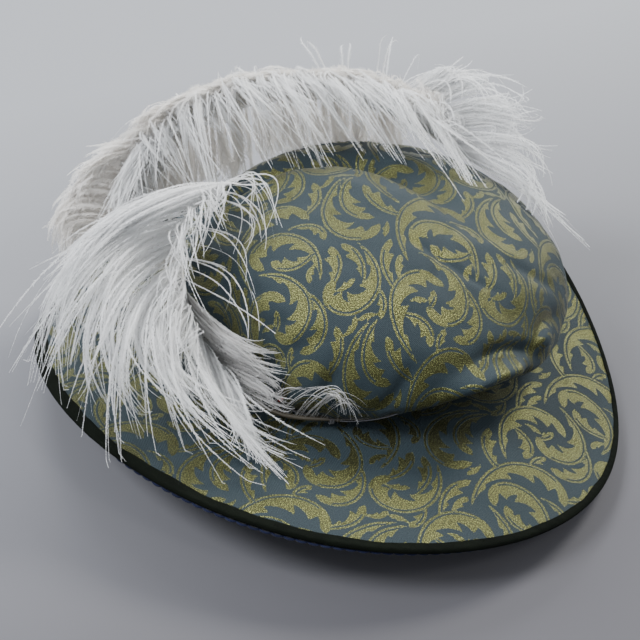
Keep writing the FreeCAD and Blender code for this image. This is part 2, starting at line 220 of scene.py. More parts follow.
def add_number(piece, name, values):
    """Gives each point of a piece a number for its material to read."""
    layer = piece.data.attributes.new(name, "FLOAT", "POINT")
    layer.data.foreach_set("value", values.astype(np.float32).ravel())


def add_vector(piece, name, values):
    """Gives each point of a piece a vector for its material to read."""
    layer = piece.data.attributes.new(name, "FLOAT_VECTOR", "POINT")
    layer.data.foreach_set("vector", values.astype(np.float32).ravel())


def grid_faces(rows, columns, round_columns=True, round_rows=False):
    """Quads between rows and columns of points, either of which may close on itself."""
    i = np.arange(rows if round_rows else rows - 1)
    j = np.arange(columns if round_columns else columns - 1)
    i, j = np.meshgrid(i, j, indexing="ij")
    up = (i + 1) % rows
    on = (j + 1) % columns
    quads = [i * columns + j, i * columns + on, up * columns + on, up * columns + j]
    return np.stack(quads, -1).reshape(-1, 4)


def tube_points(path, radii, sides):
    """Rings of points round a path. Frames are carried along it, so they don't twist."""
    way = unit(np.gradient(path, axis=0))
    side = np.zeros_like(path)
    start = np.array([0.0, 0.0, 1.0]) if abs(way[0, 2]) < 0.9 else np.array([1.0, 0.0, 0.0])
    side[0] = unit(np.cross(way[0], start))
    for i in range(1, len(path)):
        side[i] = unit(side[i - 1] - way[i] * (side[i - 1] @ way[i]))
    up = np.cross(way, side)
    angle = np.arange(sides) * TURN / sides
    ring = side[:, None] * np.cos(angle)[:, None] + up[:, None] * np.sin(angle)[:, None]
    return path[:, None] + ring * np.broadcast_to(radii, len(path))[:, None, None]


def bow(values, share):
    """A value that runs smoothly through three values, at the shares 0, 1/2 and 1."""
    first, middle, last = values
    ends = first * (1 - share) * (1 - 2 * share) + last * share * (2 * share - 1)
    return ends + middle * 4 * share * (1 - share)


def smooth_line(points, at):
    """Points of the smooth (Catmull-Rom) line through a list of points, at fractional indices."""
    points = np.array(points, float)
    points = np.vstack([points[0] * 2 - points[1], points, points[-1] * 2 - points[-2]])
    first = np.floor(at).astype(int).clip(0, len(points) - 4)
    share = (at - first)[..., None]
    p0, p1, p2, p3 = (points[first + k] for k in range(4))
    curve = (p0 * 2 - p1 * 5 + p2 * 4 - p3) * share ** 2
    twist = (p1 * 3 - p0 - p2 * 3 + p3) * share ** 3
    return p1 + ((p2 - p0) * share + curve + twist) * 0.5


# ---------------------------------------------------------------- brocade pattern

REPEAT = (112.0, 128.0)
CELL = 0.5
SPINE_POINTS = 64
VEIN_MIN_WIDTH = 5.0
VEIN_INSET = 2.2
NO_VEIN = 5.0
LOBE_LEAN = 0.8

# Tries, whether it grows out of another leaf, length, turn in degrees, tightening, width, lobes.
LEAF_SIZES = (
    (400, False, (88, 108), (190, 300), 1.5, (12.0, 14.5), 5),
    (3000, True, (54, 76), (90, 200), 1.1, (9.0, 12.0), 4),
    (1500, False, (50, 66), (110, 220), 1.2, (8.5, 11.0), 4),
    (5000, True, (32, 48), (50, 150), 0.9, (6.5, 9.5), 3),
    (2500, False, (26, 38), (40, 130), 0.8, (5.5, 8.5), 3),
    (5000, True, (16, 26), (20, 100), 0.6, (3.8, 5.5), 2),
    (1500, False, (12, 20), (20, 80), 0.4, (3.2, 4.6), 2),
)


def spiral(start, heading, length, turn, tighten):
    """A spine that winds, its curvature growing towards its end."""
    share = np.linspace(0.0, 1.0, SPINE_POINTS + 1)
    angle = heading + turn * (share + tighten * share ** 3) / (1.0 + tighten)
    run = np.stack([np.cos(angle), np.sin(angle)], 1) * (length / SPINE_POINTS)
    return start + np.concatenate([[[0.0, 0.0]], np.cumsum(run[:-1], 0)])


def leaf_front(share, width):
    """Reach of a leaf's lobed side at shares of its length, mm."""
    return width * np.sin(np.pi * share ** 1.9).clip(0.0, 1.0) ** 0.7


def leaf_back(share, width):
    """Reach of a leaf's smooth side at shares of its length, mm."""
    return 0.34 * width * np.sin(np.pi * share ** 1.1).clip(0.0, 1.0) ** 0.7


def lobes(share, count):
    """Pointed leaf lobes that rise slowly and end sharply, as a factor on a leaf's width."""
    part = np.mod(share * count, 1.0)
    rise = (part / 0.80).clip(0.0, 1.0) ** 1.3
    fall = ((1.0 - part) / 0.20).clip(0.0, 1.0) ** 0.7
    return 0.28 + 0.72 * np.minimum(rise, fall)


def leaf_depth(px, py, spine, side, width, count):
    """Depth inside one acanthus leaf, mm, and distance past the vein along its smooth back."""
    gap = (px[..., None] - spine[:, 0]) ** 2 + (py[..., None] - spine[:, 1]) ** 2
    near = gap.argmin(-1)
    way = unit(np.gradient(spine, axis=0))
    step = np.linalg.norm(spine[1] - spine[0])
    dx = px - spine[near, 0]
    dy = py - spine[near, 1]
    across = side * (way[near, 0] * dy - way[near, 1] * dx)
    along = way[near, 0] * dx + way[near, 1] * dy
    share = ((near + along / step) / SPINE_POINTS).clip(0.0, 1.0)
    behind = 0.6 + leaf_back(share, width)
    lean = share - LOBE_LEAN * across.clip(0.0, None) / (step * SPINE_POINTS)
    front = 0.4 + leaf_front(share, width) * lobes(lean, count)
    depth = np.minimum(front - across, across + behind)
    ends = (near == 0) | (near == SPINE_POINTS)
    depth = np.where(ends, np.minimum(depth, 0.6 - np.abs(along)), depth)
    has_vein = (share > 0.06) & (share < 0.80) & (width > VEIN_MIN_WIDTH)
    return depth, np.where(has_vein, across + behind - VEIN_INSET, NO_VEIN)


def look_up(field, points):
    """The field at the cells that hold points, wrapping round the repeat."""
    rows, columns = field.shape
    i = np.floor(points[..., 0] / CELL).astype(int) % columns
    j = np.floor(points[..., 1] / CELL).astype(int) % rows
    return field[j, i]


def leaf_fits(field, spine, side, width, branch):
    """True if a leaf on this spine would lie clear of the leaves that are there."""
    share = np.linspace(0.0, 1.0, SPINE_POINTS + 1)
    way = unit(np.gradient(spine, axis=0))
    out = side * np.stack([-way[:, 1], way[:, 0]], 1)
    front = (leaf_front(share, width) * 0.85 + 0.6)[:, None]
    behind = (leaf_back(share, width) + 1.2)[:, None]
    rest = share > (0.24 if branch else 0.0)
    reaches = (front, front * 0.5, front * 0.0, -behind)
    return max(look_up(field, (spine + out * reach)[rest]).max() for reach in reaches) < -0.5


def stamp_leaf(field, veins, spine, side, width, count):
    """Draws a leaf into the field, wrapping round the repeat."""
    low = np.floor((spine.min(0) - width - 3) / CELL).astype(int)
    high = np.ceil((spine.max(0) + width + 3) / CELL).astype(int)
    i = np.arange(low[0], high[0])
    j = np.arange(low[1], high[1])
    px, py = np.meshgrid((i + 0.5) * CELL, (j + 0.5) * CELL)
    rows, columns = np.meshgrid(j % field.shape[0], i % field.shape[1], indexing="ij")
    depth, vein = leaf_depth(px, py, spine, side, width, count)
    over = depth > field[rows, columns]
    field[rows[over], columns[over]] = depth[over]
    veins[rows[over], columns[over]] = vein[over]


def damask_repeat():
    """One repeat of the brocade: depth inside its gold leaves, mm, and distance past their veins."""
    rng = np.random.default_rng(40)
    field = np.full((int(REPEAT[1] / CELL), int(REPEAT[0] / CELL)), -9.0)
    veins = np.full(field.shape, NO_VEIN)
    for tries, branch, lengths, turns, tighten, widths, count in LEAF_SIZES:
        for _ in range(tries):
            start = rng.random(2) * REPEAT
            heading = rng.uniform(0, TURN)
            length = rng.uniform(*lengths)
            width = rng.uniform(*widths)
            hand = rng.choice([-1, 1])
            turn = hand * math.radians(rng.uniform(*turns))
            if branch and look_up(field, start) < 0.3:
                continue
            spine = spiral(start, heading, length, turn, tighten)
            if leaf_fits(field, spine, hand, width, branch):
                stamp_leaf(field, veins, spine, hand, width, count)
    return field, veins


def damask_depth(field, cloth):
    """A field of the pattern at points of cloth, mm, read smoothly between its cells."""
    at = cloth / CELL - 0.5
    low = np.floor(at).astype(int)
    part = at - low
    rows, columns = field.shape
    total = 0.0
    for di in (0, 1):
        for dj in (0, 1):
            weight = np.abs(1 - di - part[..., 0]) * np.abs(1 - dj - part[..., 1])
            total = total + weight * field[(low[..., 1] + dj) % rows, (low[..., 0] + di) % columns]
    return total


# ---------------------------------------------------------------- materials

class Paint:
    """A node material with one Principled shader, and short ways to add nodes to it."""

    def __init__(self, name, **values):
        self.material = bpy.data.materials.new(name)
        self.material.use_nodes = True
        self.tree = self.material.node_tree
        self.shader = self.tree.nodes["Principled BSDF"]
        for socket, value in values.items():
            self.shader.inputs[socket.replace("_", " ")].default_value = value

    def node(self, kind, inputs=(), **settings):
        made = self.tree.nodes.new("ShaderNode" + kind)
        for key, value in settings.items():
            setattr(made, key, value)
        for key, value in dict(inputs).items():
            if isinstance(value, bpy.types.NodeSocket):
                self.tree.links.new(value, made.inputs[key])
            else:
                made.inputs[key].default_value = value
        return made

    def attribute(self, name, output="Fac"):
        return self.node("Attribute", attribute_name=name).outputs[output]

    def object_mm(self):
        """Object coordinates in millimetres."""
        place = self.node("TexCoord").outputs["Object"]
        scale = {0: place, "Scale": 1000.0}
        return self.node("VectorMath", scale, operation="SCALE").outputs["Vector"]

    def noise(self, vector, per_mm, detail=2.0, output="Fac"):
        inputs = {"Vector": vector, "Scale": per_mm, "Detail": detail}
        return self.node("TexNoise", inputs).outputs[output]

    def math(self, operation, a, b=0.0, clamp=False):
        made = self.node("Math", {0: a, 1: b}, operation=operation, use_clamp=clamp)
        return made.outputs[0]

    def ramp(self, value, low, high, to_low=0.0, to_high=1.0):
        inputs = {"Value": value, 1: low, 2: high, 3: to_low, 4: to_high}
        return self.node("MapRange", inputs).outputs[0]

    def mix(self, share, a, b):
        made = self.node("Mix", {0: share, 6: a, 7: b}, data_type="RGBA")
        return made.outputs[2]

    def bump(self, height, distance_mm, strength=1.0):
        inputs = {"Height": height, "Distance": distance_mm * MM, "Strength": strength}
        self.link("Normal", self.node("Bump", inputs).outputs["Normal"])

    def link(self, socket, value):
        self.tree.links.new(value, self.shader.inputs[socket])


def colour(red, green, blue):
    """An opaque colour from its linear channels."""
    return (red, green, blue, 1.0)


def brocade_paint():
    """Gold leaves on dark slate blue. Needs the piece's leaf depth, vein distance and cloth coordinates."""
    p = Paint("brocade", Sheen_Weight=0.06, Sheen_Roughness=0.45)
    cloth = p.attribute("cloth", "Vector")
    depth = p.attribute("leaf")
    teeth = p.ramp(p.noise(cloth, 1.3, 1.0), 0.3, 0.7, -0.22, 0.22)
    vein = p.math("SUBTRACT", p.math("ABSOLUTE", p.attribute("vein")), 0.65)
    depth = p.math("MINIMUM", depth, vein)
    gold = p.ramp(p.math("ADD", depth, teeth), -0.12, 0.12)
    grain = p.noise(cloth, 1.3, 3.0)
    patch = p.noise(cloth, 0.035, 2.0)
    spark = p.ramp(grain, 0.47, 0.66)
    dark_gold = p.mix(patch, colour(0.028, 0.028, 0.008), colour(0.046, 0.046, 0.015))
    gold_tone = p.mix(spark, dark_gold, colour(0.26, 0.272, 0.105))
    blue_tone = p.mix(p.ramp(grain, 0.3, 0.7), colour(0.007, 0.016, 0.022), colour(0.026, 0.042, 0.050))
    p.link("Base Color", p.mix(gold, blue_tone, gold_tone))
    p.link("Metallic", p.math("MULTIPLY", gold, 0.85))
    p.link("Roughness", p.ramp(gold, 0.0, 1.0, 0.72, 0.30))
    p.link("Specular IOR Level", p.ramp(gold, 0.0, 1.0, 0.25, 0.5))
    ribs = p.node("TexWave", {"Vector": cloth, "Scale": 0.42, "Distortion": 0.6}, bands_direction="DIAGONAL")
    relief = p.math("ADD", p.math("MULTIPLY", gold, 0.6), p.math("MULTIPLY", grain, 1.5))
    relief = p.math("ADD", relief, p.math("MULTIPLY", ribs.outputs["Fac"], 0.5))
    p.bump(relief, 0.30, 1.0)
    return p.material


def cloth_paint(name, dark, light, weave_mm, roughness=0.85, sheen=0.2, relief_mm=0.15):
    """A plain woven cloth: crossing threads with uneven dye."""
    p = Paint(name, Roughness=roughness, Sheen_Weight=sheen)
    place = p.object_mm()
    scale = TURN / weave_mm / 20.0
    over = p.node("TexWave", {"Vector": place, "Scale": scale, "Distortion": 0.8}, bands_direction="X")
    under = p.node("TexWave", {"Vector": place, "Scale": scale, "Distortion": 0.8}, bands_direction="Y")
    weave = p.math("MULTIPLY", over.outputs["Fac"], under.outputs["Fac"])
    tone = p.math("ADD", p.math("MULTIPLY", weave, 0.5), p.math("MULTIPLY", p.noise(place, 0.05, 4.0), 0.5))
    p.link("Base Color", p.mix(tone, dark, light))
    p.bump(weave, relief_mm)
    return p.material


def nap_paint(name, dark, light, grain_per_mm=1.6, roughness=0.95, sheen=0.5, relief_mm=0.4):
    """A cloth with a raised nap."""
    p = Paint(name, Roughness=roughness, Sheen_Weight=sheen, Specular_IOR_Level=0.1)
    place = p.object_mm()
    grain = p.noise(place, grain_per_mm, 4.0)
    tone = p.math("MULTIPLY", grain, p.ramp(p.noise(place, 0.06, 2.0), 0.3, 0.7, 0.6, 1.3), clamp=True)
    p.link("Base Color", p.mix(tone, dark, light))
    p.bump(grain, relief_mm)
    return p.material


def metal_paint(name, dark, light, roughness):
    """A metal with faint stains."""
    p = Paint(name, Metallic=0.9)
    place = p.object_mm()
    stain = p.noise(place, 0.8, 4.0)
    p.link("Base Color", p.mix(stain, dark, light))
    p.link("Roughness", p.ramp(stain, 0.3, 0.7, roughness - 0.08, roughness + 0.12))
    p.bump(stain, 0.02)
    return p.material


def ball_paint():
    """Glossy red glass bead with faint swirls."""
    p = Paint("pin_ball_red", Roughness=0.12, Coat_Weight=0.8, Coat_Roughness=0.05)
    place = p.object_mm()
    swirl = p.noise(place, 0.5, 2.0)
    p.link("Base Color", p.mix(swirl, colour(0.16, 0.008, 0.006), colour(0.34, 0.022, 0.015)))
    return p.material


def quill_paint():
    """A shaft that pales towards its tip, with long streaks. Its dark root end is horn colour deepened with
    painted shade, where it runs under the crown.
    """
    p = Paint("quill_horn", Roughness=0.38, Coat_Weight=0.15)
    along = p.attribute("along")
    streak = p.noise(p.object_mm(), 0.9, 3.0)
    # Dark root end: horn colour, deepened with painted shade where the quill runs under the crown's overhang.
    horn_and_shade_root = p.mix(streak, colour(0.035, 0.030, 0.020), colour(0.085, 0.070, 0.050))
    p.link("Base Color", p.mix(p.ramp(along, 0.16, 0.42), horn_and_shade_root, colour(0.86, 0.84, 0.80)))
    p.bump(streak, 0.08)
    return p.material


def flue_paint(name, root, tip):
    """Ostrich flues: soft, matt and slightly see-through to light, paler towards their ends."""
    p = Paint(name, Roughness=0.8, Sheen_Weight=0.3)
    along = p.attribute("along")
    shade = p.math("ADD", along, p.ramp(p.noise(p.object_mm(), 0.15, 2.0), 0.3, 0.7, -0.2, 0.2), clamp=True)
    own = p.math("POWER", p.attribute("tone"), 0.6)
    dim = [channel * 0.93 for channel in root[:3]] + [1.0]
    tone = p.mix(own, dim, p.mix(shade, root, tip))
    p.link("Base Color", tone)
    glow = p.node("BsdfTranslucent", {"Color": tone})
    both = p.node("MixShader", {0: 0.4, 1: p.shader.outputs[0], 2: glow.outputs[0]})
    p.tree.links.new(both.outputs[0], p.tree.nodes["Material Output"].inputs["Surface"])
    return p.material


BROCADE = brocade_paint()
BINDING = nap_paint("binding_nap", colour(0.0008, 0.0014, 0.0008), colour(0.0055, 0.0080, 0.0045), sheen=0.0)
GIMP = nap_paint("navy_gimp", colour(0.002, 0.003, 0.012), colour(0.014, 0.020, 0.060), 2.2, 0.7, 0.1, 0.25)
UNDER = cloth_paint("under_cotton", colour(0.012, 0.014, 0.018), colour(0.045, 0.050, 0.060), 0.9)
NET = cloth_paint("interlining_net", colour(0.30, 0.28, 0.23), colour(0.62, 0.58, 0.50), 1.6, 0.9, 0.1, 0.3)
BUCKRAM = cloth_paint("buckram_weave", colour(0.34, 0.31, 0.24), colour(0.64, 0.60, 0.50), 1.2, 0.8, 0.0, 0.3)
LINING = cloth_paint("lining_satin", colour(0.010, 0.012, 0.016), colour(0.040, 0.045, 0.055),
                     weave_mm=0.7, roughness=0.5, sheen=0.3, relief_mm=0.08)
PETERSHAM = cloth_paint("petersham", colour(0.006, 0.006, 0.007), colour(0.026, 0.027, 0.030), 0.8, 0.7, 0.2)
GROSGRAIN = cloth_paint("hatband_grosgrain", colour(0.005, 0.005, 0.006), colour(0.022, 0.022, 0.025),
                        weave_mm=0.9, roughness=0.7)
WIRE = metal_paint("hat_wire", colour(0.10, 0.10, 0.11), colour(0.32, 0.32, 0.34), 0.42)
STEEL = metal_paint("pin_steel", colour(0.42, 0.42, 0.44), colour(0.72, 0.72, 0.74), 0.22)
THREAD = cloth_paint("thread_cotton", colour(0.02, 0.02, 0.022), colour(0.10, 0.10, 0.11),
                     weave_mm=0.4, roughness=0.8, sheen=0.1, relief_mm=0.05)
BALL = ball_paint()
QUILL = quill_paint()
WHITE_FLUES = flue_paint("white_flues", colour(0.86, 0.86, 0.86), colour(0.97, 0.98, 0.99))
WARM_FLUES = flue_paint("warm_white_flues", colour(0.88, 0.85, 0.81), colour(0.97, 0.955, 0.935))
# Painted shade: white flues coloured grey for the fans at the front plume's foot, which lie in shade under
# the crown.
PAINTED_SHADE_FLUES = flue_paint("shaded_flues", colour(0.42, 0.41, 0.40), colour(0.80, 0.80, 0.80))


# ---------------------------------------------------------------- brim

FIELD, VEINS = damask_repeat()
BRIM_COLUMNS = 880
BRIM_ROWS = 100
UNDER_COLUMNS = 420
UNDER_ROWS = 40
COVER_INSET = 3.0
BRIM_CUT = (math.radians(24), (31.0, 57.0))
BINDING_COLUMNS = 900
NAP_FIBRES = 30000

# Braid: its loops' spacing, thread radius, half length as a share of the spacing, and how far they stand out,
# the side and inset of each row of them, and how far in the rows lie from the rim, which is less where the
# braid peeks out. The plaited middle's edges are distances out from the rim.
LOOP_PITCH = 7.7
LOOP_RADIUS = 0.85
LOOP_HALF = 0.52
LOOP_OUT = 2.7
LOOP_ROWS = ((1, 1.2), (-1, 4.4))
BRAID_INSET = 4.4
PEEK_OUT = 2.8
PEEK_SPREAD = 0.5
LOOP_SIDES = 6
LOOP_STEPS = 11
PLAIT = (-7.6, -3.4)
PLAIT_ROWS = 7
PLAIT_COLUMNS = 2400
PLAIT_PITCH = 3.0


def cut_cloth(x, y, turn, shift):
    """Cloth coordinates, mm, of a piece cut with its grain turned."""
    u = x * math.cos(turn) - y * math.sin(turn) + shift[0]
    v = x * math.sin(turn) + y * math.cos(turn) + shift[1]
    return np.stack([u, v], -1)


def brim_grid(columns, rows, inner_offset, rim_inset, lift):
    """A grid over the brim from the head opening to the rim."""
    angle = np.arange(columns) * TURN / columns
    share = np.linspace(0.0, 1.0, rows)[:, None]
    inner = oval_radius(angle, inner_offset)
    radius = inner + share * (rim_radius(angle) - rim_inset - inner)
    points = brim_point(np.broadcast_to(angle, radius.shape), radius, lift)
    return points.reshape(-1, 3)


def brocade_values(piece, cloth):
    """Gives a piece what the brocade material reads."""
    add_number(piece, "leaf", damask_depth(FIELD, cloth))
    add_number(piece, "vein", damask_depth(VEINS, cloth))
    add_vector(piece, "cloth", np.concatenate([cloth, np.zeros((len(cloth), 1))], -1))


def brim_covers():
    """The brocade on top and the plain cloth underneath."""
    points = brim_grid(BRIM_COLUMNS, BRIM_ROWS, BRIM_HOLE + 0.1, COVER_INSET, 0.0)
    points[:, 2] += 0.25 + 0.2 * ripple(points, 22.0, 3)
    top = make_piece("brim_brocade", points, [grid_faces(BRIM_ROWS, BRIM_COLUMNS)], BROCADE, "hat")
    brocade_values(top, cut_cloth(points[:, 0], points[:, 1], *BRIM_CUT))
    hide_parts("brim_top_cover")

    points = brim_grid(UNDER_COLUMNS, UNDER_ROWS, BRIM_HOLE + 0.1, COVER_INSET, -UNDER_DEPTH)
    points[:, 2] -= 0.1 + 0.1 * ripple(points, 18.0, 4)
    faces = [grid_faces(UNDER_ROWS, UNDER_COLUMNS)[:, ::-1]]
    under = make_piece("brim_under_cloth", points, faces, UNDER, "hat")
    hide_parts("brim_under_cover")


def brim_binding():
    """A ribbon folded over the rim, a little uneven where it is eased round the curve."""
    columns = BINDING_COLUMNS
    angle = np.arange(columns) * TURN / columns
    outer_loop = binding_section(0.0)
    inner_loop = binding_section(BINDING_CLOTH)[::-1]
    section = np.vstack([outer_loop, inner_loop])
    up = np.broadcast_to(section[:, 1:], (len(section), columns))
    out = narrowed(np.broadcast_to(section[:, :1], up.shape), up, angle)
    radius = rim_radius(angle)[None] + out
    edge = out / -BINDING_WIDTH
    points = brim_point(np.broadcast_to(angle, radius.shape), radius, 0.0)
    points[..., 2] += up
    flat = points.reshape(-1, 3)
    uneven = ripple(flat, 26.0, 7).reshape(radius.shape)
    pucker = ripple(flat, 7.0, 8).reshape(radius.shape)
    outward = np.stack([np.cos(angle), np.sin(angle)], -1)[None]
    points[..., :2] += outward * ((0.6 * uneven + 0.25 * pucker) * edge.clip(0, 1) * 2.0)[..., None]
    points[..., 2] += 0.18 * pucker * np.sign(up + BINDING_BOTTOM / 2) * (edge > 0.1)
    faces = [grid_faces(len(section), columns, round_rows=True)]
    binding = make_piece("brim_binding_ribbon", points.reshape(-1, 3), faces, BINDING, "hat")
    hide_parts("brim_binding")
    binding_nap(outer_loop)


def binding_section(inset):
    """Half of the binding's section, from its top flange round the rim to its bottom flange."""
    top = BINDING_TOP - inset
    bottom = -BINDING_BOTTOM + inset
    half = (top - bottom) / 2
    middle = (top + bottom) / 2
    corner = []
    for x in BINDING_FLANGE:
        corner.append((x, top))
    for step in range(9):
        turn = math.pi * step / 8
        out = -BINDING_ROUND + (BINDING_ROUND - inset) * math.sin(turn)
        corner.append((out, middle + half * math.cos(turn)))
    for x in reversed(BINDING_FLANGE):
        corner.append((x, bottom))
    return np.array(corner)


def narrowed(out, up, angle):
    """Distances out from the rim, with the top flange narrower than the bottom one."""
    top_width = BINDING_TOP_WIDTH - BINDING_TOP_EASE * np.cos(angle - BINDING_NARROW)
    narrow = (top_width - BINDING_ROUND) / (BINDING_WIDTH - BINDING_ROUND)
    flange = (out < -BINDING_ROUND - 0.1) & (up > (BINDING_TOP - BINDING_BOTTOM) / 2)
    return np.where(flange, -BINDING_ROUND + (out + BINDING_ROUND) * narrow, out)


def binding_nap(section):
    """Short fibres standing off the binding, so its edge looks soft."""
    rng = np.random.default_rng(21)
    count = NAP_FIBRES
    place = rng.uniform(0, TURN, count)
    which = rng.integers(0, len(section) - 1, count)
    share = rng.random((count, 1))
    spot = section[which] * (1 - share) + section[which + 1] * share
    spot[:, 0] = narrowed(spot[:, 0], spot[:, 1], place)
    run = section[which + 1] - section[which]
    normal = unit(np.stack([-run[:, 1], run[:, 0]], -1)) * -1.0
    foot = brim_point(place, rim_radius(place) + spot[:, 0], 0.0)
    foot[:, 2] += spot[:, 1]
    out = np.stack([np.cos(place), np.sin(place), np.zeros(count)], -1)
    round_rim = np.stack([-np.sin(place), np.cos(place), np.zeros(count)], -1)
    stand = out * normal[:, :1] + np.array([0, 0, 1.0]) * normal[:, 1:]
    lean = rng.normal(size=(count, 3)) * 0.6
    tip = foot + unit(stand + lean) * rng.uniform(0.35, 0.95, (count, 1))
    width = round_rim * rng.uniform(0.05, 0.1, (count, 1))
    points = np.stack([foot - width, foot + width, tip], 1).reshape(-1, 3)
    nap = make_piece("brim_binding_nap", points, [np.arange(len(points)).reshape(-1, 3)], BINDING, "hat")


def braid_loops(start, length):
    """Rings of points round the loops along both sides of the braid, one array for each loop."""
    count = int(BRIM_RADIUS * length / LOOP_PITCH)
    reach = np.linspace(0, math.pi, LOOP_STEPS)
    loops = []
    for side, inset in LOOP_ROWS:
        for k in range(count):
            middle = start + length * (k + 0.5) / count
            along = np.cos(reach) * LOOP_PITCH * LOOP_HALF / BRIM_RADIUS
            out = np.sin(reach) * LOOP_OUT * side - inset
            out = out - BRAID_INSET + PEEK_OUT * math.exp(-((middle % TURN - BRAID_PEEK) / PEEK_SPREAD) ** 2)
            path = brim_point(middle + along, rim_radius(middle + along) + out, -BRAID_DEPTH)
            path[:, 2] += 0.25 * np.sin(reach)
            loops.append(tube_points(path, LOOP_RADIUS, LOOP_SIDES).reshape(-1, 3))
    return loops


def braid_plait(start, length):
    """The plaited middle of the braid, as rows of points round its section."""
    place = start + length * np.arange(PLAIT_COLUMNS) / (PLAIT_COLUMNS - 1)
    across = np.linspace(*PLAIT, PLAIT_ROWS)[:, None]
    strand = np.abs(across - sum(PLAIT) / 2) * 0.5
    plait = np.abs(np.mod(place * BRIM_RADIUS / PLAIT_PITCH + strand, 1.0) - 0.5)
    radius = rim_radius(place)[None] + across
    shell = []
    for lift in (0.45 + 1.1 * plait, -0.45 - 1.1 * plait):
        shell.append(brim_point(np.broadcast_to(place, radius.shape), radius, lift - BRAID_DEPTH))
    return np.concatenate([shell[0], shell[1][::-1]])


def gimp_braid():
    """Scalloped gimp under the rim: a plaited middle with a row of loops along each side."""
    start = math.radians(BRAID_FROM)
    length = math.radians(BRAID_TURN)
    loops = braid_loops(start, length)
    one = grid_faces(LOOP_STEPS, LOOP_SIDES)
    loop_faces = np.concatenate([one + k * LOOP_STEPS * LOOP_SIDES for k in range(len(loops))])
    points = np.concatenate(loops)
    plait_faces = grid_faces(2 * PLAIT_ROWS, PLAIT_COLUMNS, round_columns=False, round_rows=True)
    groups = [loop_faces, plait_faces + len(points)]
    points = np.concatenate([points, braid_plait(start, length).reshape(-1, 3)])
    braid = make_piece("brim_gimp", points, groups, GIMP, "hat")
    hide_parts("brim_gimp_braid")


# ---------------------------------------------------------------- crown

CROWN_COLUMNS = 720
CROWN_TOP_ROWS = 100
CROWN_FOOT_ROWS = 36
CROWN_CUT = (math.radians(-12), (70.0, 20.0))
NET_COLUMNS = 300
NET_TOP_ROWS = 30
NET_FOOT_ROWS = 14
NET_SHRINK = 1.9
TUCK = 15.0
TUCK_Z = 32.0
TUCK_FADE = 14.0
TUCK_ANGLE = -40.0
TUCK_SPREAD = 26.0
PLEATS = 46
PLEAT_DEPTH = 2.6

# The trough and the crest in front of it, each as its start, middle and end in plan. The trough's widths are
# the one behind its line and the one in front.
TROUGH = ((-112, 26), (-8, 72), (88, -4))
CREST = ((-104, -6), (-62, 48), (60, -12))
TROUGH_DEPTH = 17.0
TROUGH_WIDTHS = (20.0, 9.5)
CREST_HEIGHT = 4.5
CREST_WIDTH = 13.0

# Folds on the crown's side: the angles round the puff's ellipse in plan that each runs from and to (degrees),
# its height at its start, middle and end, its width, and its depth. A negative depth is a roll.
FOLDS = [
    (-70, -40, (24, 33, 33), 6.5, 13.0),
    (-68, -40, (38, 46, 40), 7.0, -14.0),
    (-60, -31, (52, 54, 38), 6.0, 5.5),
    (-29, -30, (42, 47, 52), 12.0, -4.0),
    (-32, -13, (55, 52, 42), 6.0, 3.5),
    (-72, -36, (96, 92, 76), 4.0, 1.8),
    (-26, -70, (96, 94, 84), 4.0, 1.4),
    (-23, -10, (84, 72, 56), 6.0, 2.2),
    (-153, -132, (36, 54, 68), 6.0, 5.0),
    (-142, -118, (34, 50, 64), 6.0, 5.0),
    (-128, -107, (30, 46, 62), 6.0, 4.0),
    (-141, -132, (56, 59, 62), 9.0, -3.0),
    (-87, -77, (24, 40, 58), 6.0, 3.0),
    (-102, -99, (26, 38, 52), 6.0, 3.0),
]
LINE_POINTS = 9


def plan_line(plan):
    """A line over the puff above a bowed line in plan."""
    share = np.linspace(0, 1, LINE_POINTS)
    x, y = (bow([place[axis] for place in plan], share) for axis in (0, 1))
    across = ((x - CROWN_CENTRE[0]) / CROWN_HALF[0]) ** 2 + ((y - CROWN_CENTRE[1]) / CROWN_HALF[1]) ** 2
    return np.stack([x, y, CROWN_CENTRE[2] + CROWN_HALF[2] * np.sqrt(1 - across)], -1)


def side_line(start, end, heights):
    """A line on the puff from one angle in plan to another, at heights that bow through three values."""
    share = np.linspace(0, 1, LINE_POINTS)
    angle = np.radians(start + (end - start) * share)
    z = bow(heights, share)
    ring = np.sqrt(1 - ((z - CROWN_CENTRE[2]) / CROWN_HALF[2]) ** 2)
    x = CROWN_CENTRE[0] + CROWN_HALF[0] * ring * np.cos(angle)
    y = CROWN_CENTRE[1] + CROWN_HALF[1] * ring * np.sin(angle)
    return np.stack([x, y, z], -1)


def crown_base(columns, top_rows, foot_rows, shrink):
    """The plain puff: a dome over its widest line, and a foot that turns in to the band."""
    angle = np.arange(columns) * TURN / columns
    ring = np.stack([np.cos(angle), np.sin(angle)], -1)
    half = np.array(CROWN_HALF) - shrink
    centre = CROWN_CENTRE[:2]
    rows = []
    for turn in np.linspace(0.012, math.pi / 2, top_rows):
        flat = centre + ring * half[:2] * math.sin(turn)
        rows.append(np.column_stack([flat, np.full(columns, CROWN_CENTRE[2] + half[2] * math.cos(turn))]))
    widest = centre + ring * half[:2]
    way = np.arctan2(widest[:, 1], widest[:, 0])
    hole = oval_radius(way, CROWN_HOLE + 0.2)
    foot = np.stack([hole * np.cos(way), hole * np.sin(way)], -1)
    drop = CROWN_CENTRE[2] - CROWN_FOOT_Z - shrink
    for turn in np.linspace(0.0, math.pi / 2, foot_rows + 1)[1:]:
        flat = foot + (widest - foot) * math.cos(turn)
        rows.append(np.column_stack([flat, np.full(columns, CROWN_CENTRE[2] - drop * math.sin(turn))]))
    return np.stack(rows)


def crown_normals(points):
    """Outward directions of the puff at its points."""
    away = (points - CROWN_CENTRE) / np.array(CROWN_HALF) ** 2
    below = points[..., 2] < CROWN_CENTRE[2]
    away[..., 2] = np.where(below, away[..., 2] * 6.0, away[..., 2])
    return unit(away)


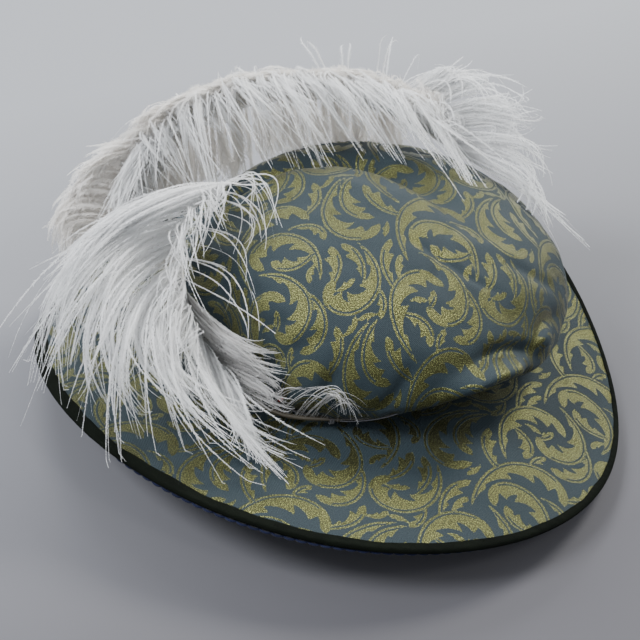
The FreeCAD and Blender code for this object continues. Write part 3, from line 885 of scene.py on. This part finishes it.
def line_distance(points, line):
    """Distance of each point from a smooth line, and how far along it the nearest place is, 0 to 1."""
    dense = smooth_line(line, np.linspace(0, len(line) - 1, 14 * len(line)))
    best = np.full(len(points), 1e9)
    where = np.zeros(len(points), int)
    for k, spot in enumerate(dense):
        gap = ((points - spot) ** 2).sum(-1)
        closer = gap < best
        best[closer] = gap[closer]
        where[closer] = k
    way = unit(np.gradient(dense, axis=0))
    return np.sqrt(best), where / (len(dense) - 1.0), dense[where], way[where]


def front_right(points):
    """1 where the crown's cloth is tucked in under a roll, on the right seen from the front, fading to 0."""
    angle = np.degrees(np.arctan2(points[:, 1], points[:, 0]))
    return np.exp(-((angle - TUCK_ANGLE) / TUCK_SPREAD) ** 2)


def crown_depth(points, normals):
    """How far the gathered cloth lies under the plain puff, mm."""
    depth = np.zeros(len(points))
    gap, along, spot, way = line_distance(points, plan_line(TROUGH))
    across = np.cross(way, normals)
    behind = ((points - spot) * across).sum(-1) < 0
    width = np.where(behind, *TROUGH_WIDTHS)
    strength = (1.0 - along ** 3.0) * (0.35 + 0.65 * np.minimum(along / 0.12, 1.0))
    depth += TROUGH_DEPTH * strength * np.exp(-(gap / width) ** 2)
    gap, along, spot, way = line_distance(points, plan_line(CREST))
    depth -= CREST_HEIGHT * np.exp(-(gap / CREST_WIDTH) ** 2) * (1.0 - 0.6 * along)
    for start, end, heights, width, deep in FOLDS:
        gap, along, spot, way = line_distance(points, side_line(start, end, heights))
        fade = np.minimum(np.minimum(along, 1 - along) / 0.25, 1.0) * 0.75 + 0.25
        depth += deep * np.exp(-(gap / width) ** 2) * fade
    depth += TUCK * front_right(points) * ((TUCK_Z - points[:, 2]) / TUCK_FADE).clip(0.0, 1.0)
    depth += 1.3 * ripple(points, 85.0, 12) + 0.6 * ripple(points, 34.0, 13) + 0.15 * ripple(points, 13.0, 14)
    return depth


def gathers(points, height_share):
    """Pleats that run out from the band under the puff and fade up its side."""
    angle = np.arctan2(points[:, 1], points[:, 0])
    beat = angle * PLEATS + 2.2 * np.sin(angle * 7 + 1.0) + 1.6 * np.sin(angle * 13 + 2.0)
    pleat = np.abs(np.sin(beat / 2)) ** 0.8
    patch = 0.6 + 0.4 * np.sin(angle * 5 + 0.7) * np.sin(angle * 3)
    return (pleat - 0.5) * PLEAT_DEPTH * patch * height_share * (1.0 - 0.85 * front_right(points))


def crown_surface(columns, top_rows, foot_rows, shrink):
    """The puffed crown's points: folded, gathered, pressed flat by the front plume and clear of the brim."""
    points = crown_base(columns, top_rows, foot_rows, shrink)
    rows = points.shape[0]
    flat = points.reshape(-1, 3)
    normals = crown_normals(flat)
    down = np.concatenate([
        np.clip(np.linspace(-2.2, 0.28, top_rows), 0, 1),
        0.28 + 0.72 * np.sin(np.linspace(0, math.pi, foot_rows + 1)[1:]) ** 0.7,
    ])
    share = np.repeat(down, columns)
    flat = flat - normals * (crown_depth(flat, normals) + gathers(flat, share))[:, None]
    normal = FLAT_NORMAL / np.linalg.norm(FLAT_NORMAL)
    over = flat @ normal - (FLAT_DISTANCE - shrink)
    press = np.where(over > -FLAT_EASE, (over + FLAT_EASE) ** 2 / (4 * FLAT_EASE), 0.0)
    flat = flat - normal * np.where(over > FLAT_EASE, over, press)[:, None]
    angle = np.arctan2(flat[:, 1], flat[:, 0])
    radius = np.hypot(flat[:, 0], flat[:, 1])
    inner = oval_radius(angle, CROWN_HOLE + 0.2)
    inside_band = (flat[:, 2] < CUFF_Z) & (radius < inner)
    scale = np.where(inside_band, inner / np.maximum(radius, 1.0), 1.0)
    flat[:, :2] *= scale[:, None]
    floor = brim_point(angle, np.hypot(flat[:, 0], flat[:, 1]), 1.4)[:, 2]
    flat[:, 2] = np.maximum(flat[:, 2], floor)
    return flat.reshape(rows, columns, 3)


def crown_cloth(points):
    """Cloth coordinates over the crown: distance down from its top, spread round it."""
    steps = np.linalg.norm(np.diff(points, axis=0), axis=-1)
    run = np.vstack([np.zeros((1, points.shape[1])), np.cumsum(steps, 0)])
    run = 0.5 * run + 0.5 * run.mean(1, keepdims=True)
    angle = np.arange(points.shape[1]) * TURN / points.shape[1]
    return run * np.cos(angle), run * np.sin(angle)


def with_centre(points):
    """A grid's points in one list, with the centre of its first row last."""
    return np.vstack([points.reshape(-1, 3), points[0].mean(0)])


def dome_faces(rows, columns, seen_inside=False):
    """Faces of a dome of rows from its top down, whose centre point comes last."""
    j = np.arange(columns)
    on = (j + 1) % columns
    top = np.full(columns, rows * columns)
    if seen_inside:
        return [grid_faces(rows, columns), np.stack([top, on, j], -1)]
    return [grid_faces(rows, columns)[:, ::-1], np.stack([top, j, on], -1)]


def crown():
    """The gathered brocade cover, the net under it and the lining."""
    rows = CROWN_TOP_ROWS + CROWN_FOOT_ROWS
    points = crown_surface(CROWN_COLUMNS, CROWN_TOP_ROWS, CROWN_FOOT_ROWS, 0.0)
    x, y = crown_cloth(points)
    cloth = cut_cloth(np.append(x.ravel(), 0.0), np.append(y.ravel(), 0.0), *CROWN_CUT)
    cover = make_piece("crown_brocade", with_centre(points), dome_faces(rows, CROWN_COLUMNS), BROCADE, "hat")
    brocade_values(cover, cloth)
    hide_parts("crown_cover")

    rows = NET_TOP_ROWS + NET_FOOT_ROWS
    points = crown_surface(NET_COLUMNS, NET_TOP_ROWS, NET_FOOT_ROWS, NET_SHRINK)
    points = points - crown_normals(points) * 0.3
    net = make_piece("crown_net", with_centre(points), dome_faces(rows, NET_COLUMNS), NET, "hat")
    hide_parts("crown_interlining")
    crown_lining()


def crown_lining():
    """The dome of lining over the head, drawn up in soft pleats towards its top."""
    columns = 288
    rows = 26
    angle = np.arange(columns) * TURN / columns
    turn = np.linspace(0.03, math.pi / 2, rows)[:, None]
    pleat = 0.8 * np.abs(np.sin(angle * 18)) * np.sin(2 * turn)
    x = (HEAD_X + 0.3 - pleat) * np.sin(turn) * np.cos(angle)
    y = (HEAD_Y + 0.3 - pleat) * np.sin(turn) * np.sin(angle)
    z = LINING_Z + (LINING_RISE - 0.3 - pleat) * np.cos(turn)
    points = np.stack([x, y, z], -1)
    faces = dome_faces(rows, columns, seen_inside=True)
    lining = make_piece("crown_lining_cloth", with_centre(points), faces, LINING, "hat")
    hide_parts("crown_lining")


def ribbon_band(name, offsets, heights, material, rib_pitch, rib_depth, sag, seed, outward):
    """An upright ribbon round the head oval, with cross ribs on its seen face."""
    columns = int(math.pi * (HEAD_X + HEAD_Y) / rib_pitch) * 2
    angle = np.arange(columns) * TURN / columns
    rib = rib_depth * (np.arange(columns) % 2)
    way = 1.0 if outward else -1.0
    rows = 9
    levels = np.broadcast_to(np.linspace(*heights, rows)[:, None], (rows, columns))

    def face(radius):
        return np.stack([radius * np.cos(angle), radius * np.sin(angle), levels], -1)

    sides = []
    for offset, seen in ((offsets[0], not outward), (offsets[1], outward)):
        radius = np.broadcast_to(oval_radius(angle, offset), levels.shape)
        wobble = sag * (ripple(face(radius).reshape(-1, 3), 40.0, seed).reshape(radius.shape) - 0.8)
        sides.append(face(radius + (way * (wobble - rib * seen)).clip(-0.35, 0.35)))
    loop = np.concatenate([sides[0], sides[1][::-1]])
    faces = [grid_faces(2 * rows, columns, round_rows=True)]
    return make_piece(name, loop.reshape(-1, 3), faces, material, "hat")


def bands():
    """The ribbon outside the band and the sweatband inside it."""
    outside = ribbon_band("hatband_grosgrain", HATBAND, HATBAND_Z, GROSGRAIN, 1.0, 0.12, 0.06, 31, True)
    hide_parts("hatband_ribbon")
    inside = ribbon_band("sweatband_petersham", SWEATBAND, SWEATBAND_Z, PETERSHAM, 1.0, 0.12, 0.0, 32, False)
    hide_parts("sweatband")


# ---------------------------------------------------------------- plumes

QUILL_RADIUS = 1.75
QUILL_TAPER = 1.25


def quill(name, stations, body, node):
    """The rachis: a tapering shaft with a shallow groove along it."""
    count = 160
    sides = 12
    path = smooth_line(stations, np.linspace(0, len(stations) - 1, count))
    along = np.linspace(0, 1, count)
    points = tube_points(path, QUILL_RADIUS - QUILL_TAPER * along, sides)
    points[:, 0] = points[:, 0] * 0.75 + path * 0.25
    flat = np.vstack([points.reshape(-1, 3), path[:1], path[-1:]])
    j = np.arange(sides)
    on = (j + 1) % sides
    last = (count - 1) * sides
    foot = np.full(sides, count * sides)
    caps = [np.stack([foot, on, j], -1), np.stack([foot + 1, j + last, on + last], -1)]
    faces = [grid_faces(count, sides)] + caps
    piece = make_piece(name, flat, faces, QUILL, body)
    add_number(piece, "along", np.append(np.repeat(along, sides), [0.0, 1.0]))
    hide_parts(node)


def rear_rachis():
    """Stations of the rear rachis: its foot, then an arc round the crown's back."""
    angle = np.linspace(*REAR_ARC_ANGLES, REAR_ARC_STATIONS)
    x = REAR_ARC_CENTRE[0] + REAR_ARC_HALF[0] * np.cos(np.radians(angle))
    y = REAR_ARC_CENTRE[1] + REAR_ARC_HALF[1] * np.sin(np.radians(angle))
    z = REAR_ARC_TOP - REAR_ARC_FALL * (angle - REAR_ARC_TOP_AT) ** 2
    return REAR_FOOT + list(zip(x, y, z))


def fan(rachis, laws):
    """Stations of a fan: the place on the rachis, and where the flues there bend and end."""
    share = np.linspace(0, 1, FAN_STATIONS)
    index = laws["span"][0] + (laws["span"][1] - laws["span"][0]) * share
    root = smooth_line(rachis, index)
    names = ("way", "reach", "rise", "lift", "turn")
    way, reach, rise, lift, turn = (bow(laws[name], share) for name in names)

    def away(angle, far, high):
        angle = np.radians(angle)
        return root + np.stack([far * np.cos(angle), far * np.sin(angle), high], -1)

    return list(zip(index, away(way + turn, reach * laws["bend"], lift), away(way, reach, rise)))


def bend_curve(root, bend, tip, at):
    """Points of a curve that leaves the root, passes the bend and ends at the tip."""
    through = 0.42
    own = bend - (1 - through) ** 2 * root - through ** 2 * tip
    handle = own / (2 * through * (1 - through))
    t = at[..., None]
    return (1 - t) ** 2 * root[:, None] + 2 * t * (1 - t) * handle[:, None] + t ** 2 * tip[:, None]


def flue_lines(rng, rachis, stations, count, locks, wild, clump, curl, steps):
    """Centre lines of flues that fan out of a rachis, drawn together into locks."""
    index, bends, tips = zip(*stations)
    last = len(stations) - 1
    at = np.linspace(0, 1, steps + 1)
    place = np.sort(rng.uniform(0, last, count))
    centres = np.sort(rng.uniform(0, last, locks))
    lock = np.abs(place[:, None] - centres).argmin(1)

    def line(where, reach, lift, shake, at):
        on = np.interp(where, np.arange(last + 1), index)
        root = smooth_line(rachis, on)
        bend = smooth_line(bends, where)
        tip = smooth_line(tips, where)
        bend = root + (bend - root) * (0.85 + 0.25 * reach)[:, None] + lift
        tip = root + (tip - root) * reach[:, None] + shake
        return bend_curve(root, bend, tip, at)

    def throw(size, amounts):
        return rng.normal(size=(size, 3)) * amounts * wild

    reach = 1.0 - 0.38 * rng.random(count) ** 1.4
    own = line(place, reach, throw(count, (3.5, 3.5, 4.0)), throw(count, (9.0, 9.0, 4.0)), at[None])
    lock_reach = 1.04 - 0.30 * rng.random(locks)
    lock_lift = throw(locks, (5.0, 5.0, 6.0))
    lock_shake = throw(locks, (13.0, 13.0, 6.0))
    ends = at[None] * (1.05 - 0.38 * rng.random((count, 1)) ** 1.5)
    drawn = line(centres[lock], lock_reach[lock], lock_lift[lock], lock_shake[lock], ends)
    loose = rng.random(count) < 0.16
    pull = np.where(loose, 0.1, clump) * rng.uniform(0.8, 1.05, count)
    weight = (pull[:, None] * at[None] ** 0.9)[..., None]
    lines = own * (1 - weight) + drawn * weight
    end = unit(lines[:, -1] - lines[:, -4])
    hook = np.where(loose[:, None], rng.normal(size=(count, 3)), rng.normal(size=(locks, 3))[lock])
    hook = unit(np.cross(end, hook) - (0.0, 0.0, 0.35))
    size = curl * np.where(loose, rng.uniform(0.3, 1.3, count), rng.uniform(0.2, 1.0, locks)[lock])
    lines = lines + hook[:, None] * (size[:, None] * at[None] ** 3)[..., None]
    sway = unit(rng.normal(size=(count, 3)))
    beat = np.sin(at[None] * rng.uniform(3, 9, (count, 1)) + rng.uniform(0, TURN, (count, 1)))
    return lines + sway[:, None] * (1.4 * beat * at[None])[..., None]


def flue_mesh(rng, lines, width, length, angle):
    """Flues as ribbons that carry a barbule on each side of every step."""
    count, points, _ = lines.shape
    steps = points - 1
    way = unit(np.gradient(lines, axis=1))
    up = np.array([0.0, -0.25, 1.0]) + rng.normal(size=(count, 1, 3)) * 0.35
    side = unit(np.cross(way, np.broadcast_to(up, way.shape)))
    normal = np.cross(side, way)
    at = np.linspace(0, 1, points)
    twist = rng.uniform(-0.7, 0.7, (count, 1))
    twist = twist + at * rng.uniform(-1.2, 1.2, (count, 1))
    side = side * np.cos(twist)[..., None] + normal * np.sin(twist)[..., None]
    half = side * (width * (1.0 - 0.7 * at))[None, :, None]
    left = lines + half
    right = lines - half
    shape = (np.sin(np.pi * (0.10 + 0.88 * at[:-1] ** 0.8)) ** 0.8)[None]
    barbs = []
    for edge, sign in ((left, 1.0), (right, -1.0)):
        middle = (edge[:, :-1] + edge[:, 1:]) / 2
        reach = length * shape * rng.uniform(0.55, 1.15, (count, steps))
        lean = angle + rng.normal(size=(count, steps)) * 0.16
        tip = middle + way[:, :-1] * (reach * np.cos(lean))[..., None]
        tip = tip + side[:, :-1] * (sign * reach * np.sin(lean))[..., None]
        tip = tip + normal[:, :-1] * (reach * rng.normal(size=(count, steps)) * 0.14)[..., None]
        tip[..., 2] -= 0.10 * reach
        barbs.append(tip)
    block = np.concatenate([left, right, *barbs], 1)
    size = block.shape[1]
    i = np.arange(steps)
    quads = np.stack([i, i + 1, points + i + 1, points + i], -1)
    left_barbs = np.stack([i + 1, i, 2 * points + i], -1)
    right_barbs = np.stack([points + i, points + i + 1, 2 * points + steps + i], -1)
    base = (np.arange(count) * size)[:, None, None]
    groups = [(quads[None] + base).reshape(-1, 4)]
    for barb in (left_barbs, right_barbs):
        groups.append((barb[None] + base).reshape(-1, 3))
    along = np.concatenate([at, at, at[:-1], at[:-1]])
    tone = np.repeat(rng.random(count), size)
    return block.reshape(-1, 3), groups, np.tile(along, count), tone


def flues(name, seed, rachis, laws, body, material, count, locks, nodes=(), wild=1.0, clump=0.85,
          curl=9.0, steps=110, width=0.2, length=2.8, angle=0.42, clear=None):
    """One group of flues as a piece."""
    rng = np.random.default_rng(seed)
    lines = flue_lines(rng, rachis, fan(rachis, laws), count, locks, wild, clump, curl, steps)
    if clear is not None:
        lines = clear(lines)
    points, groups, along, tone = flue_mesh(rng, lines, width, length, angle)
    piece = make_piece(name, points, groups, material, body)
    add_number(piece, "along", along)
    add_number(piece, "tone", tone)
    if nodes:
        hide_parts(*nodes)
    return piece


def off_brim(lines, height=1.6):
    """Keeps flues above the brim's top face where they hang over it."""
    flat = lines.reshape(-1, 3)
    angle = np.arctan2(flat[:, 1], flat[:, 0])
    radius = np.hypot(flat[:, 0], flat[:, 1])
    floor = brim_point(angle, radius, height)[:, 2]
    flat[:, 2] = np.maximum(flat[:, 2], floor)
    return flat.reshape(lines.shape)


def under_ceiling(lines):
    """Presses the highest flues down a little, so the plume keeps its height."""
    over = (lines[..., 2] - CEILING).clip(0.0, None)
    lines[..., 2] -= over * 0.6
    return lines


def plumes():
    """Both plumes: their quills and each group of their flues."""
    quill("front_quill", FRONT_RACHIS, "front_plume", "front_plume_quill")
    rear = rear_rachis()
    quill("rear_quill", rear, "rear_plume", "rear_plume_quill")
    front = FRONT_RACHIS
    flues("front_outer_flues", 101, front, FRONT_OUTER, "front_plume", WHITE_FLUES, 430, 62,
          ["front_plume_outer_flues"], steps=130, clump=0.97, curl=19.0, wild=1.15, length=3.0,
          clear=off_brim)
    flues("front_inner_flues", 102, front, FRONT_INNER, "front_plume", WHITE_FLUES, 26, 16,
          ["front_plume_inner_flues"], wild=1.3, clump=0.4, curl=9.0, steps=90, length=1.6)
    flues("front_cover_flues", 109, front, FRONT_COVER, "front_plume", WHITE_FLUES, 110, 36,
          steps=60, length=2.0, curl=8.0, wild=1.3)
    # The foot and base fans carry flues coloured with painted shade.
    flues("front_foot_flues", 103, front, FRONT_FOOT, "front_plume", PAINTED_SHADE_FLUES, 34, 20,
          steps=40, width=0.12, length=0.9, wild=0.5, clump=0.6, curl=6.0, clear=off_brim)
    flues("front_base_flues", 104, front, FRONT_BASE, "front_plume", PAINTED_SHADE_FLUES, 170, 22,
          steps=70, length=2.2, wild=0.5, curl=5.0)
    flues("rear_outer_flues", 105, rear, REAR_OUTER, "rear_plume", WARM_FLUES, 760, 70,
          ["rear_plume_outer_flues"], steps=56, length=4.6, angle=0.6, clump=0.5, wild=0.6,
          clear=under_ceiling)
    flues("rear_veil_flues", 110, rear, REAR_VEIL, "rear_plume", WARM_FLUES, 460, 40,
          steps=44, length=4.6, angle=0.6, clump=0.4, wild=0.5)
    flues("rear_inner_flues", 106, rear, REAR_CURLS, "rear_plume", WHITE_FLUES, 420, 54,
          ["rear_plume_inner_flues"], steps=90, clump=0.95, curl=17.0, length=3.2, clear=under_ceiling)
    flues("rear_short_flues", 111, rear, REAR_SHORT, "rear_plume", WHITE_FLUES, 420, 60,
          steps=60, wild=1.2, clump=0.8, curl=9.0, length=3.2, clear=under_ceiling)
    flues("rear_end_flues", 107, rear, REAR_END, "rear_plume", WHITE_FLUES, 240, 34,
          steps=100, wild=1.2, curl=19.0, clump=0.97, length=3.4, clear=under_ceiling)
    flues("rear_stray_flues", 108, rear, REAR_WISPS, "rear_plume", WHITE_FLUES, 16, 6,
          steps=100, wild=0.7, clump=0.9, curl=10.0, length=3.2, clear=under_ceiling)


# ---------------------------------------------------------------- carried-over nodes

def repaint():
    """Gives each CAD node that still shows its material."""
    paints = {
        "brim_buckram": BUCKRAM,
        "side_band_buckram": BUCKRAM,
        "brim_edge_wire": WIRE,
        "brim_inner_wire": WIRE,
        "front_quill_thread": THREAD,
        "rear_quill_thread": THREAD,
        "pin_shaft": STEEL,
        "pin_head": BALL,
    }
    for name, material in paints.items():
        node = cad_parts[name]
        for slot in node.material_slots:
            slot.link = "OBJECT"
            slot.material = material
        if not node.material_slots:
            node.data.materials.append(material)


# ---------------------------------------------------------------- stage

CAMERA_TARGET = Vector((-0.01415, 0.00146, 0.00185))
CAMERA_DISTANCE = 1.08
CAMERA_ELEVATION = math.radians(38)
CAMERA_ROLL = math.radians(8)
CAMERA_LENS = 84.375

# Studio lights: name, place and aim in metres, size in metres, power in watts, and tint.
LIGHTS = (
    ("key", (0.9, 1.0, 1.3), (0.06, 0, 0.03), 0.6, 36.0, (1.0, 0.99, 0.93)),
    ("right", (0.9, -0.8, 1.7), (0.05, -0.05, 0.03), 0.4, 5.0, (1.0, 0.99, 0.94)),
    ("front", (-1.4, -0.7, 1.6), (-0.10, -0.04, 0.03), 0.8, 58.0, (0.95, 0.97, 1.0)),
    ("back", (-0.8, 1.4, 1.4), (0, 0, 0.06), 0.9, 34.0, (0.96, 0.98, 1.0)),
)
SKY_STRENGTH = 0.72


def camera():
    """A long lens in front of the hat and above it, rolled a little."""
    forward = Vector((0, math.cos(CAMERA_ELEVATION), -math.sin(CAMERA_ELEVATION)))
    level_up = Vector((0, math.sin(CAMERA_ELEVATION), math.cos(CAMERA_ELEVATION)))
    right = Vector((1, 0, 0)) * math.cos(CAMERA_ROLL) + level_up * math.sin(CAMERA_ROLL)
    up = level_up * math.cos(CAMERA_ROLL) - Vector((1, 0, 0)) * math.sin(CAMERA_ROLL)
    data = bpy.data.cameras.new("camera")
    data.lens = CAMERA_LENS
    data.clip_start = 0.01
    data.clip_end = 30.0
    made = bpy.data.objects.new("camera", data)
    turn = Matrix((right, up, -forward)).transposed().to_4x4()
    made.matrix_world = Matrix.Translation(CAMERA_TARGET - forward * CAMERA_DISTANCE) @ turn
    bpy.context.collection.objects.link(made)
    bpy.context.scene.camera = made


def soft_light(name, place, aim, size, power, tint):
    """A round area light at a place, aimed at a point."""
    data = bpy.data.lights.new(name, "AREA")
    data.shape = "DISK"
    data.size = size
    data.energy = power
    data.color = tint
    made = bpy.data.objects.new(name, data)
    way = Vector(aim) - Vector(place)
    made.matrix_world = Matrix.Translation(place) @ way.to_track_quat("-Z", "Y").to_matrix().to_4x4()
    bpy.context.collection.objects.link(made)


def stage():
    """A grey floor just under the hat's lowest point, with a painted fall-off of light across it, and soft
    studio light.
    """
    p = Paint("studio_floor", Roughness=0.9)
    place = p.node("SeparateXYZ", {0: p.object_mm()}).outputs
    # Painted light: the floor is coloured lighter towards the back and the wearer's right, and darker towards
    # the front.
    far = p.ramp(p.math("SUBTRACT", place["Y"], p.math("MULTIPLY", place["X"], 0.7)), -260.0, 520.0)
    p.link("Base Color", p.mix(far, colour(0.098, 0.096, 0.107), colour(0.27, 0.278, 0.30)))
    level = cad_box[0][2] - 0.0005
    bpy.ops.mesh.primitive_grid_add(x_subdivisions=8, y_subdivisions=8, size=8.0, location=(0, 0, level))
    floor = bpy.context.object
    floor.name = "studio_floor"
    floor.data.materials.append(p.material)
    world = bpy.data.worlds.new("studio")
    world.use_nodes = True
    sky = world.node_tree.nodes["Background"]
    sky.inputs["Color"].default_value = colour(0.90, 0.94, 1.0)
    sky.inputs["Strength"].default_value = SKY_STRENGTH
    bpy.context.scene.world = world
    for light in LIGHTS:
        soft_light(*light)


brim_covers()
brim_binding()
gimp_braid()
crown()
bands()
plumes()
repaint()
camera()
stage()
